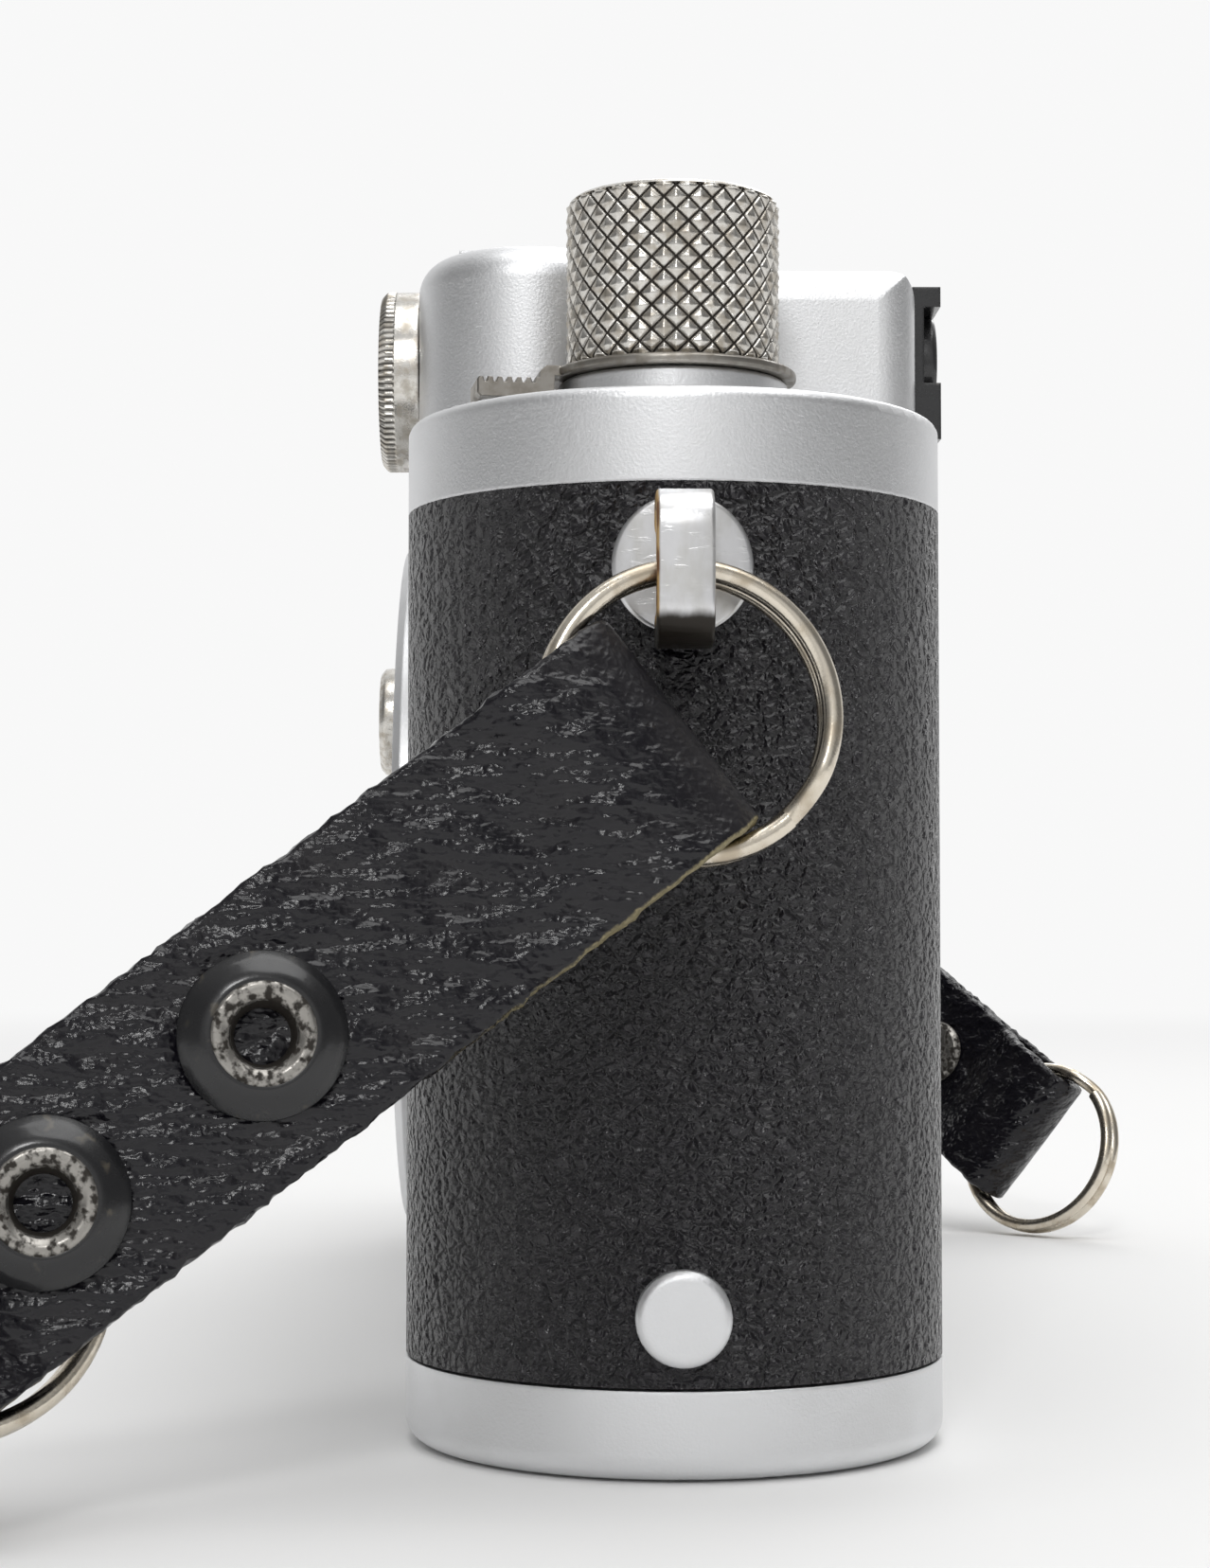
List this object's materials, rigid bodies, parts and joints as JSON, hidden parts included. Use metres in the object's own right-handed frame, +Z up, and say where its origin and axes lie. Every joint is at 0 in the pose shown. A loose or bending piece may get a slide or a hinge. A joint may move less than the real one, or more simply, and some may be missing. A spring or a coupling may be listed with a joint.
{
  "type": "rangefinder camera",
  "caption": "Small screw-mount rangefinder camera with round body ends, knurled knobs, cloth focal-plane shutter and short leather strap tabs on split rings.",
  "frame": {"origin": "centre of the base plate's flat underside, mid length and mid thickness of the body", "axes": "+X along the body towards the rewind knob, -Y out of the lens mount, +Z up"},
  "size_m": [0.1607, 0.0884, 0.0725],
  "materials": {
    "satin_chrome": "satin",
    "body_leather": "pebbled black covering, worn glossy",
    "knurled_nickel": "knurled, grime in the grooves",
    "bright_steel": "bright",
    "worn_lug": "worn satin with brassed edges",
    "ring_nickel": "polished nickel",
    "strap_leather": "creased glossy black with raw edges",
    "black_enamel": "gloss black",
    "dark_alloy": "matt blackened",
    "brass": "machined",
    "shutter_cloth": "rubberised black cloth",
    "clear_glass": "polished",
    "mirror_glass": "silvered"
  },
  "bodies": {
    "camera_body": {"body_shell": "satin_chrome", "leather_covering": "body_leather", "top_cover": "satin_chrome", "chassis_plate": "dark_alloy", "rangefinder_housing": "satin_chrome", "base_stud": "satin_chrome", "strap_lug_near": "worn_lug", "strap_lug_far": "worn_lug", "rewind_boss": "satin_chrome", "release_collar": "bright_steel", "release_spring": "bright_steel", "accessory_shoe": "satin_chrome", "shoe_screws": "bright_steel", "lens_flange": "satin_chrome", "flange_screws": "bright_steel", "slow_dial_plate": "satin_chrome", "rf_bezels": "knurled_nickel", "rf_window_glass": "clear_glass", "viewfinder_frame": "satin_chrome", "viewfinder_glass": "clear_glass", "eyepiece_block": "black_enamel", "rf_eyepiece_lens": "clear_glass", "shutter_crate": "dark_alloy", "shutter_curtains": "shutter_cloth", "pressure_plate": "dark_alloy"},
    "base": {"base_plate": "satin_chrome", "tripod_bush": "bright_steel"},
    "base_key": {"base_lock_key": "satin_chrome", "base_lock_cam": "bright_steel"},
    "base_bail": {"base_key_bail": "satin_chrome"},
    "near_ring": {"split_ring_near": "ring_nickel"},
    "near_tab": {"leather_tab_near": "strap_leather", "tab_studs_near": "black_enamel"},
    "near_end_ring": {"end_ring_near": "ring_nickel"},
    "far_ring": {"split_ring_far": "ring_nickel"},
    "far_tab": {"leather_tab_far": "strap_leather", "tab_studs_far": "black_enamel"},
    "far_end_ring": {"end_ring_far": "ring_nickel"},
    "rewind_column": {"rewind_sleeve": "brass"},
    "rewind": {"rewind_knob": "knurled_nickel", "rewind_shaft": "bright_steel"},
    "focusing": {"focusing_lever": "bright_steel"},
    "focusing_eyelens": {"focusing_eyepiece_lens": "clear_glass"},
    "advance": {"advance_knob": "knurled_nickel", "advance_shaft": "bright_steel", "take_up_spool": "black_enamel", "advance_gear": "brass"},
    "frame_counter": {"frame_counter_dial": "satin_chrome"},
    "sprocket": {"film_sprocket": "bright_steel", "sprocket_gear": "brass"},
    "drum": {"curtain_drum": "dark_alloy", "drum_gear": "brass"},
    "speed_setting": {"speed_dial": "knurled_nickel"},
    "first_roller": {"first_curtain_roller": "bright_steel"},
    "second_roller": {"second_curtain_roller": "bright_steel"},
    "release": {"release_button": "bright_steel"},
    "reverse": {"reverse_lever": "bright_steel"},
    "slow_speed": {"slow_speed_dial": "knurled_nickel"},
    "rf_follower": {"rangefinder_arm": "brass"},
    "rf_mirror": {"rangefinder_mirror": "mirror_glass"}
  },
  "joints": [
    {"name": "base_plate_open", "type": "hinge", "parent": "camera_body", "child": "base", "pos_m": [0.068, 0, 0.0046], "axis": [0, -1, 0], "range_deg": [0, 25]},
    {"name": "base_key_turn", "type": "hinge", "parent": "base", "child": "base_key", "pos_m": [-0.04825, 0, 0], "axis": [0, 0, 1], "range_deg": [0, 90]},
    {"name": "base_bail_fold", "type": "hinge", "parent": "base_key", "child": "base_bail", "pos_m": [-0.04825, 0, 0.00075], "axis": [-1, 0, 0], "range_deg": [0, 90]},
    {"name": "near_ring_swing", "type": "hinge", "parent": "camera_body", "child": "near_ring", "pos_m": [0.0708, 0, 0.0457], "axis": [0, -1, 0], "range_deg": [0, 80]},
    {"name": "near_tab_slide_round", "type": "hinge", "parent": "near_ring", "child": "near_tab", "pos_m": [0.07171, 0.00015, 0.03856], "axis": [0.9777, 0.1666, 0.1282], "range_deg": [-18, 60]},
    {"name": "near_end_ring_turn", "type": "hinge", "parent": "near_tab", "child": "near_end_ring", "pos_m": [0.07952, -0.03454, 0.01176], "axis": [0.8692, 0.3916, 0.302], "continuous": true},
    {"name": "far_ring_swing", "type": "hinge", "parent": "camera_body", "child": "far_ring", "pos_m": [-0.0708, 0, 0.0457], "axis": [0, 1, 0], "range_deg": [0, 80]},
    {"name": "far_tab_slide_round", "type": "hinge", "parent": "far_ring", "child": "far_tab", "pos_m": [-0.07161, 0.00014, 0.03855], "axis": [0.979, -0.1688, -0.114], "range_deg": [-12, 12]},
    {"name": "far_end_ring_turn", "type": "hinge", "parent": "far_tab", "child": "far_end_ring", "pos_m": [-0.05088, 0.03675, 0.00766], "axis": [0.7106, -0.6429, 0.2859], "continuous": true},
    {"name": "rewind_lift", "type": "slide", "parent": "camera_body", "child": "rewind_column", "axis": [0, 0, 1], "range_m": [0, 0.0042]},
    {"name": "rewind_turn", "type": "hinge", "parent": "rewind_column", "child": "rewind", "pos_m": [0.05325, 0, 0.06], "axis": [0, 0, 1], "continuous": true},
    {"name": "focusing_lever_turn", "type": "hinge", "parent": "camera_body", "child": "focusing", "pos_m": [0.05325, 0, 0.05825], "axis": [0, 0, 1], "range_deg": [-25, 25]},
    {"name": "eyelens_focus", "type": "slide", "parent": "camera_body", "child": "focusing_eyelens", "axis": [0, 1, 0], "range_m": [-0.0006, 0.0006]},
    {"name": "advance_turn", "type": "hinge", "parent": "camera_body", "child": "advance", "pos_m": [-0.05325, 0, 0.06], "axis": [0, 0, 1], "continuous": true},
    {"name": "frame_counter_turn", "type": "hinge", "parent": "camera_body", "child": "frame_counter", "pos_m": [-0.05325, 0, 0.056], "axis": [0, 0, 1], "continuous": true},
    {"name": "sprocket_turn", "type": "hinge", "parent": "camera_body", "child": "sprocket", "pos_m": [-0.03759, 0.0033, 0.05], "axis": [0, 0, 1], "continuous": true},
    {"name": "drum_turn", "type": "hinge", "parent": "camera_body", "child": "drum", "pos_m": [-0.02563, 0.0024, 0.05], "axis": [0, 0, 1], "continuous": true},
    {"name": "speed_dial_set", "type": "hinge", "parent": "drum", "child": "speed_setting", "pos_m": [-0.02563, 0.0024, 0.058], "axis": [0, 0, 1], "range_deg": [0, 280]},
    {"name": "first_roller_turn", "type": "hinge", "parent": "camera_body", "child": "first_roller", "pos_m": [0.0245, 0.0046, 0.03], "axis": [0, 0, 1], "continuous": true},
    {"name": "second_roller_turn", "type": "hinge", "parent": "camera_body", "child": "second_roller", "pos_m": [0.0307, 0.0046, 0.03], "axis": [0, 0, 1], "continuous": true},
    {"name": "release_press", "type": "slide", "parent": "camera_body", "child": "release", "axis": [0, 0, -1], "range_m": [0, 0.0015], "stiffness_N_per_m": 300, "deforming": ["release_spring"]},
    {"name": "reverse_lever_turn", "type": "hinge", "parent": "camera_body", "child": "reverse", "pos_m": [-0.03539, -0.0096, 0.056], "axis": [0, 0, -1], "range_deg": [0, 45]},
    {"name": "slow_dial_turn", "type": "hinge", "parent": "camera_body", "child": "slow_speed", "pos_m": [-0.033, -0.018, 0.045], "axis": [0, -1, 0], "range_deg": [0, 250]},
    {"name": "rf_follower_swing", "type": "hinge", "parent": "camera_body", "child": "rf_follower", "pos_m": [0.012, -0.00975, 0.057], "axis": [0, 0, -1], "range_deg": [0, 6], "stiffness_Nm_per_rad": 0.02},
    {"name": "rf_mirror_turn", "type": "hinge", "parent": "camera_body", "child": "rf_mirror", "pos_m": [-0.006, -0.0076, 0.062], "axis": [0, 0, -1], "range_deg": [0, 3]}
  ],
  "couplings": [
    {"joint": "eyelens_focus", "follows": "focusing_lever_turn", "m_per_rad": 0.00125},
    {"joint": "frame_counter_turn", "follows": "advance_turn", "ratio": 0.02632},
    {"joint": "sprocket_turn", "follows": "advance_turn", "ratio": -1},
    {"joint": "drum_turn", "follows": "advance_turn", "ratio": 2},
    {"joint": "first_roller_turn", "follows": "advance_turn", "ratio": 3.76},
    {"joint": "second_roller_turn", "follows": "advance_turn", "ratio": 3.76},
    {"joint": "rf_mirror_turn", "follows": "rf_follower_swing", "ratio": 0.5}
  ]
}
